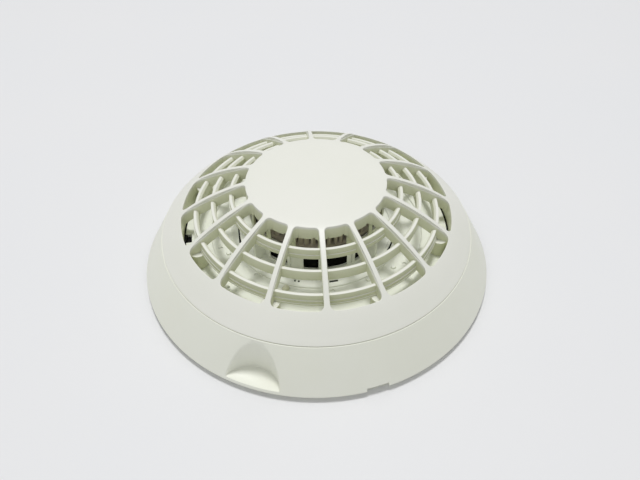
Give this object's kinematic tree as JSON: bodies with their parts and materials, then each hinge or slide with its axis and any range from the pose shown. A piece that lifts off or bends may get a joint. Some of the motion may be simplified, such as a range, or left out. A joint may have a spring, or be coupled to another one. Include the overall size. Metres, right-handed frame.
{
  "type": "heat detector",
  "caption": "Round point heat detector: open ribbed guard over a finned core, in a plug-in head that twists off a skirted ceiling base with screw terminals.",
  "frame": {"origin": "centre of the mounting base's flat rear face, which goes against the ceiling", "axes": "+Z along the detector's axis, out of the ceiling towards the room; -Y from the axis towards the thumb recess in the skirt; +X to the right when the recess faces the viewer"},
  "size_m": [0.155, 0.155, 0.0448],
  "materials": {
    "base_plastic": "satin moulded polycarbonate",
    "skirt_plastic": "satin moulded polycarbonate, off-white",
    "guard_plastic": "satin moulded polycarbonate, off-white",
    "deck_plastic": "satin moulded polycarbonate",
    "housing_plastic": "satin moulded polycarbonate",
    "plunger_plastic": "smooth acetal",
    "dark_plastic": "brown-grey satin moulding",
    "black_plastic": "matt black moulding",
    "screen_mesh": "blackened woven mesh",
    "black_rubber": "matt",
    "board_laminate": "solder mask over glass laminate",
    "chip_epoxy": "moulded epoxy with tinned legs",
    "can_aluminium": "drawn can",
    "bead_glass": "glassy bead",
    "lamp_lens": "clear lens",
    "contact_brass": "spring brass",
    "zinc_steel": "zinc plated",
    "spring_steel": "drawn wire"
  },
  "bodies": {
    "base": {"mounting_base": "base_plastic", "base_skirt": "skirt_plastic", "contact_spring_1": "contact_brass", "contact_spring_2": "contact_brass", "contact_spring_3": "contact_brass", "contact_spring_4": "contact_brass", "terminal_clamp_1": "zinc_steel", "terminal_clamp_2": "zinc_steel", "terminal_clamp_3": "zinc_steel", "terminal_clamp_4": "zinc_steel", "terminal_screws": "zinc_steel", "detent_spring": "spring_steel", "plunger_cover": "base_plastic"},
    "head": {"guard_disc": "guard_plastic", "guard_ribs": "guard_plastic", "ring_vanes": "guard_plastic", "guard_rim": "guard_plastic", "guard_bosses": "guard_plastic", "inner_cover": "deck_plastic", "gasket_ring": "black_rubber", "chamber_cup": "black_plastic", "sensor_baffle": "dark_plastic", "insect_screen": "screen_mesh", "circuit_board": "board_laminate", "processor_chip": "chip_epoxy", "driver_chip": "chip_epoxy", "filter_capacitor": "can_aluminium", "surge_diode": "chip_epoxy", "chip_resistors": "chip_epoxy", "sensing_thermistor": "bead_glass", "reference_thermistor": "bead_glass", "status_led": "lamp_lens", "rear_housing": "housing_plastic", "head_blade_1": "contact_brass", "head_blade_2": "contact_brass", "head_blade_3": "contact_brass", "head_blade_4": "contact_brass", "board_screws": "zinc_steel", "housing_screws": "zinc_steel"},
    "plunger": {"detent_plunger": "plunger_plastic"}
  },
  "joints": [
    {"name": "head_twist", "type": "hinge", "parent": "base", "child": "head", "pos_m": [0, 0, 0], "axis": [0, 0, 1], "range_deg": [0, 16]},
    {"name": "plunger_slide", "type": "slide", "parent": "base", "child": "plunger", "axis": [1, 0, 0], "range_m": [0, 0.0015], "stiffness_N_per_m": 300, "deforming": ["detent_spring"]}
  ],
  "couplings": [
    {"joint": "plunger_slide", "follows": "head_twist", "m_per_rad": 0.00537}
  ]
}
